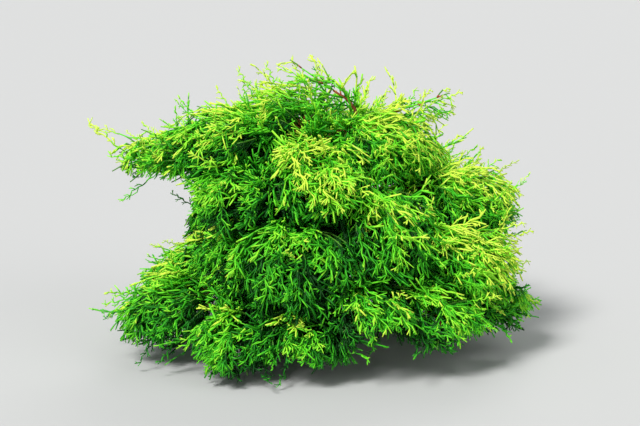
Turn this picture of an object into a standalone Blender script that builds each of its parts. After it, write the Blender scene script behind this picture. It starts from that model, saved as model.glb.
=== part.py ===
"""Dwarf golden hinoki cypress: a low, spreading evergreen shrub with weeping, cord-like foliage.

The shrub stands on the flat cut under its trunk, which is at the origin, with +Z up.
From -Y, its fuller side, it is about 0.7 m wide, and its top shoot reaches 0.46 m.
A short leaning trunk carries one bough for each mass of foliage.
Run it with: blender --background --python part.py
"""

import math
import random

import bmesh
import bpy
import numpy as np
from mathutils import Matrix, Vector

# Driving sizes, in metres. Masses and shoots are placed by shares of the spread and height.
HALF_SPREAD = 0.360
HEIGHT = 0.450
MASS_LENGTH = 0.090
GAP = 0.0003
GROUND_CLEARANCE = 0.003

# The trunk: its lean, its radii and how far its root flare reaches up.
TRUNK_TOP = Vector((0.012, 0.012, 0.270))
TRUNK_SWAY = Vector((-0.016, 0.010, 0.0))
TRUNK_BASE_RADIUS = 0.0125
TRUNK_TIP_RADIUS = 0.0042
FLARE_REACH = 0.016
FLARE_WIDTH = 0.75
FLARE_LOBES = 5
FLARE_LOBE_DEPTH = 0.22
TRUNK_STEPS = 14

# The boughs: radii, and where on the trunk they start, by the height of the mass they carry.
BOUGH_ROOT_RADIUS = 0.0040
BOUGH_TIP_RADIUS = 0.0021
BOUGH_STEPS = 6
BOUGH_RISE_DEG = 34.0
LOWEST_BOUGH = 0.026
SKIRT_HEIGHT = 0.050
BOUGH_HEIGHT_SHARE = 0.62
BOUGH_MARGIN = 0.0008
BOUGH_TOP_ROOM = 0.012
# Where two boughs would touch, the later one leaves the trunk higher, lower or further round.
BOUGH_HEIGHT_MOVES = [0.004 * step * side for step in range(12) for side in (1, -1)]
BOUGH_TURN_MOVES_DEG = (0.0, 14.0, -14.0, 28.0, -28.0, 42.0, -42.0, 56.0, -56.0)

# How each kind of mass hangs: droop of its axis in degrees, then its breadth and depth
# as shares of its length, and the size of its dense core, which is 0 on an open wisp.
KINDS = {
    "crown": (8.0, 1.00, 0.66, 0.68),
    "shelf": (3.0, 0.95, 0.56, 0.66),
    "shoulder": (14.0, 1.02, 0.70, 0.68),
    "middle": (24.0, 1.05, 0.84, 0.68),
    "drape": (40.0, 1.05, 0.80, 0.68),
    "skirt": (17.0, 0.96, 0.70, 0.66),
    "wisp": (-30.0, 0.52, 0.44, 0.0),
}

# The masses of foliage: name, azimuth in degrees (0 is +X, 90 is the back), reach from the
# trunk as a share of HALF_SPREAD, height as a share of HEIGHT, and length over MASS_LENGTH.
MASSES = (
    ("crown_top", 163, 0.13, 0.815, 0.96),
    ("crown_left", 192, 0.41, 0.750, 0.98),
    ("crown_front", 272, 0.30, 0.655, 1.00),
    ("crown_right", 352, 0.31, 0.755, 1.00),
    ("crown_back", 66, 0.34, 0.690, 1.02),
    ("shelf_left", 184, 0.69, 0.680, 0.98),
    ("shelf_left_front", 222, 0.43, 0.590, 0.95),
    ("shelf_back_left", 128, 0.52, 0.610, 1.04),
    ("shelf_back_right", 38, 0.53, 0.590, 1.02),
    ("middle_left", 170, 0.39, 0.480, 0.80),
    ("middle_back", 96, 0.56, 0.390, 0.96),
    ("drape_front", 262, 0.52, 0.400, 0.92),
    ("drape_right", 308, 0.46, 0.500, 1.06),
    ("shoulder_right", 3, 0.65, 0.530, 0.98),
    ("shoulder_front", 334, 0.66, 0.380, 0.98),
    ("shoulder_back", 26, 0.70, 0.330, 0.94),
    ("skirt_right", 352, 0.72, 0.190, 1.00),
    ("skirt_right_front", 318, 0.66, 0.190, 1.00),
    ("skirt_front_right", 291, 0.58, 0.225, 0.98),
    ("skirt_front", 265, 0.58, 0.142, 0.84),
    ("skirt_front_left", 239, 0.64, 0.125, 0.90),
    ("skirt_left", 205, 0.69, 0.185, 1.00),
    ("skirt_left_inner", 184, 0.46, 0.300, 0.84),
    ("middle_front", 232, 0.38, 0.410, 0.94),
    ("middle_low", 238, 0.36, 0.225, 0.86),
    ("skirt_back_left", 150, 0.64, 0.190, 0.98),
    ("skirt_back", 102, 0.64, 0.165, 0.94),
    ("skirt_back_right", 55, 0.66, 0.185, 0.98),
    ("wisp_top", 180, 0.015, 0.948, 0.78),
    ("wisp_right", 358, 0.46, 0.862, 0.72),
)

# The mass that grows from the trunk's own tip, with no bough.
TOP_MASS = "crown_top"

# Bearings of an open wisp that don't point straight out from the trunk, in degrees:
# its own azimuth, and the bearing that its bough leaves the trunk on.
WISP_BEARINGS = {"wisp_top": (180.0, 350.0), "wisp_right": (358.0, 20.0)}
WISP_DROOPS = {"wisp_right": -14.0}

# Long shoots that stand out of the outline: the mass that each grows from, and its tip as
# azimuth in degrees, reach over HALF_SPREAD and height over HEIGHT.
SHOOTS = (
    ("shelf_left", 180.0, 1.010, 0.780),
    ("shelf_left", 184.0, 0.870, 0.520),
    ("crown_left", 180.0, 0.460, 0.900),
    ("crown_top", 178.0, 0.330, 0.970),
    ("crown_top", 172.0, 0.210, 0.985),
    ("wisp_top", 180.0, 0.110, 1.004),
    ("wisp_right", 0.0, 0.640, 0.890),
    ("shoulder_right", 3.0, 0.820, 0.640),
    ("shoulder_front", 357.0, 0.950, 0.375),
    ("skirt_right", 352.0, 0.980, 0.165),
    ("skirt_left", 190.0, 0.960, 0.140),
    ("skirt_left", 215.0, 0.930, 0.060),
    ("skirt_front", 258.0, 0.790, 0.035),
    ("skirt_back", 98.0, 0.880, 0.060),
)

# The stem of a mass, whose ends are given as shares of the mass's half sizes.
STEM_START = (-0.74, -0.10)
STEM_END = (0.50, 0.12)
STEM_STEPS = 3
STEM_NECK = 0.006
STEM_RADII = (0.0021, 0.0019, 0.0016, 0.0012)

# The branchlets of a mass, in metres and shares: they leave its stem and thin to their tips.
BRANCHLETS = 7
BRANCHLET_REACH = 0.76
WISP_REACH = 0.70
FIRST_FORK = 0.10
LAST_FORK = 0.92
TOP_FIRST_FORK = 0.70
TWIG_ROOT_RADIUS = 0.0016
TWIG_TIP_RADIUS = 0.0009

# They aim at an even spread of directions, from this many degrees on either side of the
# mass's axis, and from a little below its middle to nearly straight up.
SPREAD_ROUND_DEG = 140.0
SPREAD_LOWEST = -0.46
SPREAD_RISE = 1.40
SPREAD_STEPS = (0.7548776662, 0.5698402909)

# A spray goes on from its branchlet's tip, outward and down, and lies over the mass.
HANG_ON, HANG_OUT, HANG_DOWN = 0.80, 0.50, 0.55
LAID_OVER = 0.75
SPRAY_LENGTH = 0.108
SPRAY_TEETH = 4
SPRAY_SPREAD_DEG = 66.0
SPRAY_MIDDLE = 0.30
SPRAY_NOTCH = 0.30
SPRAY_EDGE_CUT = 0.26
SPRAY_RAGGED = 0.06
SPRAY_RAGGED_DEG = 5.0
SPRAY_THICKNESS = 0.0034
SPRAY_SINK = 0.006

# A long shoot arches from the middle of its stem and ends in a small fork.
SHOOT_ROOT = 0.45
SHOOT_ARCH = 0.006
SHOOT_RADII = (0.0016, 0.0014, 0.0009)
SHOOT_FACING = Vector((0.2, -0.8, 0.5))
SHOOT_HEAD_LENGTH = 0.046
SHOOT_HEAD_TEETH = 3
SHOOT_HEAD_SPREAD_DEG = 40.0

# What is tried in turn until a piece fits: shares of its length, and turns to either side.
TWIG_TRIES = (1.0, 0.82, 0.66)
SPRAY_TRIES = (1.0, 0.84, 0.70, 0.58, 0.48)
SPRAY_TURNS_DEG = (0.0, 40.0, -40.0, 80.0, -80.0)

# A mass's space, as shares of its half sizes, and the room it leaves round its neighbours.
REACH_LIMIT = 1.18
CORE_LOBE = 0.20
CORE_STEP = 0.06
CELL_MARGIN = 0.0006
LIMB_MARGIN = 0.0010
CORE_LIMB_MARGIN = 0.0015
CELL_STRETCH = Vector((1.0, 1.0, 1.4))

# Colours as the sun leaves them: red-brown bark, golden tops, green sides and deeper skirts.
BARK = ("bark", (0.26, 0.105, 0.055, 1.0), 0.85)
FOLIAGE = {
    "golden": ((0.45, 0.66, 0.05, 1.0), 0.55),
    "green": ((0.17, 0.52, 0.03, 1.0), 0.55),
    "deep": ((0.06, 0.33, 0.04, 1.0), 0.60),
}
SHADE_OF_KIND = {
    "crown": "golden", "shelf": "golden", "wisp": "golden", "shoulder": "golden",
    "middle": "deep", "drape": "green", "skirt": "green",
}


def clear_scene():
    """Removes whatever the startup file holds."""
    for obj in list(bpy.data.objects):
        bpy.data.objects.remove(obj)


def new_collection(name):
    """A collection linked to the scene."""
    made = bpy.data.collections.new(name)
    bpy.context.scene.collection.children.link(made)
    return made


def new_material(name, colour, roughness):
    """A plain Principled material."""
    made = bpy.data.materials.new(name)
    made.use_nodes = True
    shader = made.node_tree.nodes["Principled BSDF"]
    shader.inputs["Base Color"].default_value = colour
    shader.inputs["Roughness"].default_value = roughness
    shader.inputs["Metallic"].default_value = 0.0
    made.diffuse_color = colour
    return made


def object_of(name, bm, collection):
    """Turns a bmesh into an object in a collection, and frees the bmesh."""
    mesh = bpy.data.meshes.new(name)
    bm.to_mesh(mesh)
    bm.free()
    obj = bpy.data.objects.new(name, mesh)
    collection.objects.link(obj)
    return obj


def heading(azimuth_deg):
    """The level direction of an azimuth."""
    turn = math.radians(azimuth_deg)
    return Vector((math.cos(turn), math.sin(turn), 0.0))


def smooth_path(start, start_way, end, end_way, steps):
    """Points of the cubic curve that leaves start and reaches end along the given ways."""
    third = (end - start).length / 3
    near, far = start + start_way * third, end - end_way * third
    shares = [i / steps for i in range(steps + 1)]
    return [
        start * (1 - t) ** 3 + near * 3 * t * (1 - t) ** 2 + far * 3 * t * t * (1 - t) + end * t**3
        for t in shares
    ]


class Mass:
    """One mass of foliage: an ellipsoid of twigs round its own axis, and the space it keeps to."""

    def __init__(self, name, azimuth, reach, height, length):
        self.name = name
        self.kind = name.split("_")[0]
        droop, breadth, depth, self.core = KINDS[self.kind]
        droop = WISP_DROOPS.get(name, droop)
        bearing, self.leaves_on = WISP_BEARINGS.get(name, (azimuth, azimuth))
        self.centre = heading(azimuth) * reach * HALF_SPREAD + Vector((0, 0, height * HEIGHT))
        self.out = heading(bearing)
        fall = math.radians(droop)
        self.axis = self.out * math.cos(fall) - Vector((0, 0, 1)) * math.sin(fall)
        self.side = Vector((0, 0, 1)).cross(self.out)
        self.up = self.axis.cross(self.side)
        half = length * MASS_LENGTH
        self.half = Vector((half, half * breadth, half * depth))
        self.meet(self.to_world(STEM_START[0], 0, STEM_START[1]), self.axis, FIRST_FORK)

    def meet(self, entry, entering, first_fork):
        """Puts the stem's start at the tip of the limb that carries the mass."""
        self.entry = entry
        self.first_fork = first_fork
        end = self.to_world(STEM_END[0], 0, STEM_END[1])
        start = entry + entering * GAP
        neck = start + entering * STEM_NECK
        self.stem = [start] + smooth_path(neck, entering, end, self.axis, STEM_STEPS - 1)

    def to_world(self, along, across, above):
        """The point at these shares of the half sizes."""
        return (
            self.centre
            + self.axis * self.half.x * along
            + self.side * self.half.y * across
            + self.up * self.half.z * above
        )

    def depth_of(self, point):
        """0 at the mass's centre and 1 on its ellipsoid."""
        off = point - self.centre
        shares = (
            off.dot(self.axis) / self.half.x,
            off.dot(self.side) / self.half.y,
            off.dot(self.up) / self.half.z,
        )
        return Vector(shares).length

    def stem_point(self, share):
        """A point on the stem that the twigs leave."""
        steps = share * STEM_STEPS
        first = min(int(steps), STEM_STEPS - 1)
        return self.stem[first].lerp(self.stem[first + 1], steps - first)


class Crown:
    """All the masses, with the planes midway between them, and the limbs their twigs keep off."""

    def __init__(self, masses):
        self.masses = masses
        self.limbs = []
        self.centres = np.array([self.stretched(m.centre) for m in masses])
        mean = [(m.half.x + m.half.y + m.half.z * CELL_STRETCH.z) / 3 for m in masses]
        self.weights = np.array(mean) ** 2

    @staticmethod
    def stretched(point):
        """Masses are flat, so heights count for more when the space is shared out."""
        return np.array(point) * np.array(CELL_STRETCH)

    def in_cell(self, index, points):
        """True if all points lie in this mass's share of the space, and above the ground."""
        spots = np.array([self.stretched(p) for p in points])
        power = ((spots[:, None, :] - self.centres[None]) ** 2).sum(2) - self.weights
        apart = np.linalg.norm(self.centres - self.centres[index], axis=1)
        room = power - power[:, index : index + 1] - 2 * CELL_MARGIN * CELL_STRETCH.z * apart
        room[:, index] = 1.0
        lowest = min(p.z for p in points)
        return bool((room >= 0).all()) and lowest > GROUND_CLEARANCE

    def add_limb(self, path, radii):
        """Records a limb as points and radii."""
        self.limbs.append((np.array(path), np.array(radii)))

    @staticmethod
    def room_round(limb, points):
        """How far each point is from the bark of one limb."""
        path, radii = limb
        spots = np.array(points)
        start, way = path[:-1], path[1:] - path[:-1]
        share = ((spots[:, None] - start) * way).sum(2) / (way**2).sum(1)
        share = np.clip(share, 0, 1)
        nearest = start + share[..., None] * way
        wood = radii[:-1] + share * (radii[1:] - radii[:-1])
        return (np.linalg.norm(spots[:, None] - nearest, axis=2) - wood).min(1)

    def clear_of_limbs(self, points, radius):
        """True if no point comes within the margin of a limb."""
        rooms = (self.room_round(limb, points).min() for limb in self.limbs)
        return all(room >= radius + LIMB_MARGIN for room in rooms)

    def outside_trunk(self, path, radii):
        """The stretch of a bough that is outside the trunk, as close-set points and radii."""
        count = len(path) - 1
        shares = np.linspace(0, count, count * 6 + 1)
        spots = [np.interp(shares, range(count + 1), [p[k] for p in path]) for k in range(3)]
        spots, thick = np.array(spots).T, np.interp(shares, range(count + 1), radii)
        first = int(np.argmax(self.room_round(self.limbs[0], spots) > -thick * 0.9))
        return spots[first:], thick[first:]

    def bough_fits(self, mass, path, radii):
        """True if a bough stays off the boughs that are there already and off other stems."""
        spots, thick = self.outside_trunk(path, radii)
        stems = [(np.array(m.stem), np.array(STEM_RADII)) for m in self.masses if m is not mass]
        rooms = (self.room_round(limb, spots) - thick for limb in self.limbs[1:] + stems)
        return all(room.min() > BOUGH_MARGIN for room in rooms)

    def accepts(self, index, points, radius):
        """True if a twig or spray with these points stays in its space and off the limbs."""
        mass = self.masses[index]
        if max(mass.depth_of(p) for p in points) > REACH_LIMIT:
            return False
        return self.in_cell(index, points) and self.clear_of_limbs(points, radius)


def tube(name, path, radii, collection, bevel_resolution):
    """A tapering round limb along a path, as a closed mesh."""
    curve = bpy.data.curves.new(name, "CURVE")
    curve.dimensions = "3D"
    curve.bevel_depth = 1.0
    curve.bevel_resolution = bevel_resolution
    curve.use_fill_caps = True
    spline = curve.splines.new("POLY")
    spline.points.add(len(path) - 1)
    for spot, place, radius in zip(spline.points, path, radii):
        spot.co = (*place, 1.0)
        spot.radius = radius
    drawn = bpy.data.objects.new(name, curve)
    collection.objects.link(drawn)
    bpy.context.view_layer.update()
    graph = bpy.context.evaluated_depsgraph_get()
    mesh = bpy.data.meshes.new_from_object(drawn.evaluated_get(graph))
    bpy.data.objects.remove(drawn)
    bm = bmesh.new()
    bm.from_mesh(mesh)
    bpy.data.meshes.remove(mesh)
    bmesh.ops.remove_doubles(bm, verts=bm.verts, dist=0.00001)
    return object_of(name, bm, collection)


def trunk_point(height):
    """The trunk's middle at a height: it leans to its top and sways once on the way."""
    share = height / TRUNK_TOP.z
    return TRUNK_TOP * share + TRUNK_SWAY * math.sin(math.pi * share)


def trunk_radius(height, grow=0.0):
    """The trunk's radius at a height, without its flare."""
    share = height / TRUNK_TOP.z
    return TRUNK_BASE_RADIUS + (TRUNK_TIP_RADIUS - TRUNK_BASE_RADIUS) * share**0.8 + grow


def make_trunk(name, collection, grow=0.0):
    """The trunk, from its flat cut at the ground to its tip, with a lobed root flare."""
    heights = [TRUNK_TOP.z * (i / TRUNK_STEPS) ** 1.5 for i in range(TRUNK_STEPS + 1)]
    path = [trunk_point(h) for h in heights]
    path[1] = Vector((0, 0, heights[1]))
    trunk = tube(name, path, [trunk_radius(h, grow) for h in heights], collection, 3)
    for vertex in trunk.data.vertices:
        place = vertex.co
        if place.z > FLARE_REACH * 5:
            continue
        middle = trunk_point(max(place.z, 0.0))
        middle = middle.lerp(Vector((0, 0, place.z)), math.exp(-place.z / FLARE_REACH))
        off = place - middle
        ridge = 1 + FLARE_LOBE_DEPTH * math.cos(FLARE_LOBES * math.atan2(off.y, off.x))
        wider = 1 + FLARE_WIDTH * ridge * math.exp(-max(place.z, 0.0) / FLARE_REACH)
        vertex.co = Vector((middle.x + off.x * wider, middle.y + off.y * wider, place.z))
    return trunk


def bough_line(mass, higher, turn_deg):
    """The points and radii of the limb that runs from the trunk's middle to its mass."""
    height = LOWEST_BOUGH + BOUGH_HEIGHT_SHARE * max(0.0, mass.centre.z - SKIRT_HEIGHT) + higher
    height = min(max(height, LOWEST_BOUGH), TRUNK_TOP.z - BOUGH_TOP_ROOM)
    rise = math.radians(BOUGH_RISE_DEG)
    leaving = heading(mass.leaves_on + turn_deg)
    start_way = leaving * math.cos(rise) + Vector((0, 0, 1)) * math.sin(rise)
    # The last step is short and straight, so that the tip is cut square to the stem there.
    neck = mass.entry - mass.axis * STEM_NECK
    path = smooth_path(trunk_point(height), start_way, neck, mass.axis, BOUGH_STEPS - 1)
    path.append(mass.entry)
    root = BOUGH_ROOT_RADIUS * (0.7 + 0.3 * mass.half.x / MASS_LENGTH)
    taper = [i / BOUGH_STEPS for i in range(BOUGH_STEPS + 1)]
    return path, [root + (BOUGH_TIP_RADIUS - root) * t for t in taper]


def routed_bough(mass, crown):
    """The bough's line that needs the smallest change to stay off the other boughs."""
    for turn_deg in BOUGH_TURN_MOVES_DEG:
        for higher in BOUGH_HEIGHT_MOVES:
            path, radii = bough_line(mass, higher, turn_deg)
            if crown.bough_fits(mass, path, radii):
                return path, radii
    raise ValueError("no clear way for the bough of " + mass.name)


def make_bough(mass, path, radii, collection, trunk_cutter):
    """One tapering limb, with its root cut to the trunk's side."""
    bough = tube("bough_" + mass.name, path, radii, collection, 1)
    cut = bough.modifiers.new("cut_to_trunk", "BOOLEAN")
    cut.operation = "DIFFERENCE"
    cut.object = trunk_cutter
    return bough


def twig(name, path, radii, collection):
    """A three-sided tapering twig, drawn out ring by ring from a capped triangle."""
    bm = bmesh.new()
    way = (path[1] - path[0]).normalized()
    place = Matrix.Translation(path[0]) @ way.to_track_quat("Z", "X").to_matrix().to_4x4()
    bmesh.ops.create_circle(bm, cap_ends=True, segments=3, radius=radii[0], matrix=place)
    face = bm.faces[:][0]
    for here, spot in enumerate(path[1:], 1):
        ways = [(path[i + 1] - path[i]).normalized() for i in (here - 1, here) if i + 1 < len(path)]
        ahead = sum(ways, Vector()).normalized()
        drawn = bmesh.ops.extrude_face_region(bm, geom=[face])
        if here > 1:
            bmesh.ops.delete(bm, geom=[face], context="FACES_ONLY")
        face = next(g for g in drawn["geom"] if isinstance(g, bmesh.types.BMFace))
        turn = way.rotation_difference(ahead).to_matrix().to_4x4()
        grow = Matrix.Scale(radii[here] / radii[here - 1], 4)
        middle = path[here - 1]
        move = Matrix.Translation(spot) @ turn @ grow @ Matrix.Translation(-middle)
        bmesh.ops.transform(bm, matrix=move, verts=list(face.verts))
        way = ahead
    bmesh.ops.recalc_face_normals(bm, faces=bm.faces)
    return object_of(name, bm, collection)


def spray_points(root, way, normal, length, teeth, spread, rng):
    """The outline of a toothed spray: its root, then tips and the notches between them."""
    across = normal.cross(way)
    middle = root + way * length * SPRAY_MIDDLE
    outline = [root]
    for tooth in range(teeth):
        share = 2 * tooth / (teeth - 1) - 1
        turn = math.radians(spread * share + rng.uniform(-SPRAY_RAGGED_DEG, SPRAY_RAGGED_DEG))
        ragged = rng.uniform(-SPRAY_RAGGED, SPRAY_RAGGED)
        reach = length * (1 - SPRAY_MIDDLE - SPRAY_EDGE_CUT * abs(share) + ragged)
        outline.append(middle + (way * math.cos(turn) + across * math.sin(turn)) * reach)
        if tooth < teeth - 1:
            turn += math.radians(spread / (teeth - 1))
            notch = length * SPRAY_NOTCH
            outline.append(middle + (way * math.cos(turn) + across * math.sin(turn)) * notch)
    return middle, outline


def spray(middle, outline, normal, collection):
    """A spray of cords as a toothed blade, thick in its middle and thin at its teeth."""
    bm = bmesh.new()
    bmesh.ops.create_cone(
        bm, cap_ends=True, cap_tris=True, segments=len(outline), radius1=1, radius2=0, depth=1
    )
    bm.verts.ensure_lookup_table()
    rim = [v for v in bm.verts if v.co.xy.length > 0.5]
    rim.sort(key=lambda v: math.atan2(v.co.y, v.co.x))
    apex = max(bm.verts, key=lambda v: v.co.z)
    for vertex in bm.verts:
        if vertex not in rim:
            lift = 0.5 if vertex is apex else -0.5
            vertex.co = middle + normal * SPRAY_THICKNESS * lift
    for vertex, place in zip(rim, outline):
        vertex.co = place
    return object_of("spray", bm, collection)


def core(mass, index, crown, collection):
    """The dense inside of a mass, drawn in wherever it would leave its space."""
    bm = bmesh.new()
    bmesh.ops.create_icosphere(bm, subdivisions=2, radius=1)
    for number, vertex in enumerate(bm.verts):
        lobed = mass.core * (1 + CORE_LOBE * math.sin(number * 2.4))
        full = mass.to_world(*(vertex.co * lobed))
        share = 1.0
        while share > 0.2 and not crown.in_cell(index, [mass.centre.lerp(full, share + CORE_STEP)]):
            share -= CORE_STEP
        vertex.co = mass.centre.lerp(full, share)
    return object_of("core", bm, collection)


def scatter(index):
    """The index-th direction of an even spread over the outer and upper side of a mass."""
    around, above = ((0.5 + index * step) % 1 for step in SPREAD_STEPS)
    turn = math.radians(SPREAD_ROUND_DEG * (2 * around - 1))
    rise = SPREAD_LOWEST + SPREAD_RISE * above
    level = math.sqrt(1 - rise * rise)
    return Vector((level * math.cos(turn), level * math.sin(turn), rise))


def spray_probes(middle, outline):
    """Points spread over a spray, close enough together that no limb slips between them."""
    rim = outline + [p.lerp(q, 0.5) for p, q in zip(outline, outline[1:])]
    inner = [middle.lerp(p, share) for p in rim for share in (0.25, 0.5, 0.75)]
    return [middle] + rim[1:] + inner


def fitted_spray(index, crown, root, way, facing, rng, collection):
    """A spray from root, turned aside or made smaller until it fits its space, or None."""
    for share in SPRAY_TRIES:
        for turn_deg in SPRAY_TURNS_DEG:
            ahead = way.copy()
            ahead.rotate(Matrix.Rotation(math.radians(turn_deg), 3, facing))
            normal = square_to(facing, ahead)
            foot = root - ahead * SPRAY_SINK
            length = SPRAY_LENGTH * share
            middle, outline = spray_points(
                foot, ahead, normal, length, SPRAY_TEETH, SPRAY_SPREAD_DEG, rng
            )
            if crown.accepts(index, spray_probes(middle, outline), SPRAY_THICKNESS / 2):
                return spray(middle, outline, normal, collection)
    return None


def square_to(normal, way):
    """The part of normal that is square to way."""
    return (normal - way * normal.dot(way)).normalized()


def laid_over(facing, way):
    """A way turned down on to the outside of its mass, so that sprays overlap like shingles."""
    return (way - facing * way.dot(facing) * LAID_OVER).normalized()


def grow_branchlet(index, crown, number, rng, collection):
    """One twig from the stem towards the number-th direction, with a spray at its tip."""
    mass = crown.masses[index]
    aim = scatter(number)
    tip = mass.to_world(*(aim * (BRANCHLET_REACH if mass.core else WISP_REACH)))
    off = tip - mass.entry
    stem = (mass.stem[-1] - mass.entry).length
    along = off.dot(mass.axis)
    aside = (off - mass.axis * along).length
    share = min(max((along - aside * 0.6) / stem, mass.first_fork), LAST_FORK)
    root = mass.stem_point(share)
    way = (tip - root).normalized()
    facing = (mass.axis * aim.x + mass.side * aim.y + mass.up * aim.z * 1.5).normalized()
    for fit in TWIG_TRIES:
        end = root.lerp(tip, fit)
        probes = [root.lerp(end, 0.1 + 0.06 * step) for step in range(16)]
        if crown.accepts(index, probes, TWIG_ROOT_RADIUS):
            break
    else:
        return
    hang = way * HANG_ON + mass.axis * HANG_OUT - Vector((0, 0, HANG_DOWN))
    blade = fitted_spray(index, crown, end, laid_over(facing, hang), facing, rng, collection)
    if blade:
        twig("branchlet", [root, end], (TWIG_ROOT_RADIUS, TWIG_TIP_RADIUS), collection)


def grow_shoot(index, crown, azimuth, reach, height, rng, collection):
    """A long shoot that stands out of its mass, with a spray at its tip."""
    mass = crown.masses[index]
    tip = heading(azimuth) * reach * HALF_SPREAD + Vector((0, 0, height * HEIGHT))
    root = mass.stem_point(SHOOT_ROOT)
    way = (tip - root).normalized()
    neck = tip - way * SHOOT_HEAD_LENGTH
    bend = root.lerp(neck, 0.5) + Vector((0, 0, SHOOT_ARCH))
    path = [root, bend, neck]
    probes = [bend.lerp(neck, 0.1 * step) for step in range(11)]
    probes += [root.lerp(bend, 0.1 * step) for step in range(2, 10)]
    if not (crown.in_cell(index, probes) and crown.clear_of_limbs(probes, TWIG_ROOT_RADIUS)):
        return
    twig("shoot", path, SHOOT_RADII, collection)
    normal = square_to(SHOOT_FACING, way)
    foot = neck - way * SPRAY_SINK
    middle, outline = spray_points(
        foot, way, normal, SHOOT_HEAD_LENGTH, SHOOT_HEAD_TEETH, SHOOT_HEAD_SPREAD_DEG, rng
    )
    probes = spray_probes(middle, outline)
    if crown.in_cell(index, probes) and crown.clear_of_limbs(probes, SPRAY_THICKNESS / 2):
        spray(middle, outline, normal, collection)


def keep_one_body(mesh):
    """Keeps the mesh's largest closed body: scraps go, and a sealed hollow is filled."""
    bm = bmesh.new()
    bm.from_mesh(mesh)
    left = set(bm.verts)
    biggest = set()
    while left:
        island = set()
        reached = [left.pop()]
        while reached:
            vertex = reached.pop()
            island.add(vertex)
            joined = {edge.other_vert(vertex) for edge in vertex.link_edges} & left
            left -= joined
            reached.extend(joined)
        biggest = max(biggest, island, key=len)
    bmesh.ops.delete(bm, geom=[v for v in bm.verts if v not in biggest], context="VERTS")
    bm.to_mesh(mesh)
    bm.free()


def fuse(name, base, others, collection):
    """Joins a base object and a collection of pieces into one solid, and removes the pieces."""
    union = base.modifiers.new("fuse", "BOOLEAN")
    union.operation = "UNION"
    union.operand_type = "COLLECTION"
    union.collection = others
    union.solver = "MANIFOLD"
    bpy.context.view_layer.update()
    graph = bpy.context.evaluated_depsgraph_get()
    mesh = bpy.data.meshes.new_from_object(base.evaluated_get(graph))
    for piece in [base, *others.objects]:
        bpy.data.objects.remove(piece)
    keep_one_body(mesh)
    mesh.name = name
    fused = bpy.data.objects.new(name, mesh)
    collection.objects.link(fused)
    return fused


def cut_core(solid, mass, limb_cutters):
    """Cuts a core clear of each bough, and each other mass's stem, that runs through it."""
    for own_stem_of, cutter, spots in limb_cutters:
        nearest = min(mass.depth_of(Vector(p)) for p in spots)
        if own_stem_of is mass or nearest > mass.core * (1.2 + CORE_LOBE):
            continue
        cut = solid.modifiers.new("clear", "BOOLEAN")
        cut.operation = "DIFFERENCE"
        cut.object = cutter


def limb_cutter(name, path, radii, collection):
    """A wider copy of a bough or a stem, which runs on a little past its tip."""
    wider = [radius + CORE_LIMB_MARGIN for radius in radii]
    tip_way = (path[-1] - path[-2]).normalized()
    beyond = path[:-1] + [path[-1] + tip_way * CORE_LIMB_MARGIN]
    return tube("cutter_" + name, beyond, wider, collection, 1)


def make_mass(index, crown, collection, limb_cutters):
    """A mass: its stem, its core and its twigs and sprays, fused into one solid."""
    mass = crown.masses[index]
    rng = random.Random(mass.name)
    pieces = new_collection("pieces_" + mass.name)
    base = twig(mass.name, mass.stem, STEM_RADII, collection)
    if mass.core:
        solid = core(mass, index, crown, pieces)
        cut_core(solid, mass, limb_cutters)
    for number in range(BRANCHLETS):
        grow_branchlet(index, crown, number, rng, pieces)
    for owner, azimuth, reach, height in SHOOTS:
        if owner == mass.name:
            grow_shoot(index, crown, azimuth, reach, height, rng, pieces)
    fused = fuse(mass.name, base, pieces, collection)
    bpy.data.collections.remove(pieces)
    return fused


def main():
    """Builds the shrub: the trunk, then the boughs from the top down, then the masses."""
    clear_scene()
    shrub = new_collection("dwarf_hinoki_cypress")
    cutters = new_collection("cutters")
    bark = new_material(*BARK)
    shades = {name: new_material("foliage_" + name, *look) for name, look in FOLIAGE.items()}

    trunk = make_trunk("trunk", shrub)
    trunk.data.materials.append(bark)
    trunk_cutter = make_trunk("trunk_cutter", cutters, GAP)

    masses = [Mass(*row) for row in MASSES]
    crown = Crown(masses)
    heights = [TRUNK_TOP.z * i / TRUNK_STEPS for i in range(TRUNK_STEPS + 1)]
    crown.add_limb([trunk_point(h) for h in heights], [trunk_radius(h) for h in heights])

    limb_cutters = []
    trunk_way = (trunk_point(TRUNK_TOP.z) - trunk_point(TRUNK_TOP.z * 0.95)).normalized()
    top_mass = next(mass for mass in masses if mass.name == TOP_MASS)
    top_mass.meet(trunk_point(TRUNK_TOP.z), trunk_way, TOP_FIRST_FORK)
    for mass in sorted(masses, key=lambda each: -each.centre.z):
        if mass is top_mass:
            continue
        path, radii = routed_bough(mass, crown)
        bough = make_bough(mass, path, radii, shrub, trunk_cutter)
        bough.data.materials.append(bark)
        spots, thick = crown.outside_trunk(path, radii)
        crown.add_limb(spots, thick)
        limb_cutters.append((None, limb_cutter(bough.name, path, radii, cutters), spots))
    for mass in masses:
        stem_cutter = limb_cutter(mass.name, mass.stem, STEM_RADII, cutters)
        limb_cutters.append((mass, stem_cutter, mass.stem))

    for index, mass in enumerate(masses):
        solid = make_mass(index, crown, shrub, limb_cutters)
        solid.data.materials.clear()
        solid.data.materials.append(shades[SHADE_OF_KIND[mass.kind]])

    for cutter in cutters.objects:
        cutter.hide_render = True
        cutter.display_type = "WIRE"


if __name__ == "__main__":
    main()
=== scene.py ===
"""Dwarf golden cypress shrub: its looks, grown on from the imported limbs.

Blender's units are metres. The shrub stands on the flat cut under its trunk, at the origin,
and the camera looks at it from -Y.
"""

import math
import random

import bmesh
import bpy
import numpy as np
from mathutils import Matrix, Vector, noise


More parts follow.
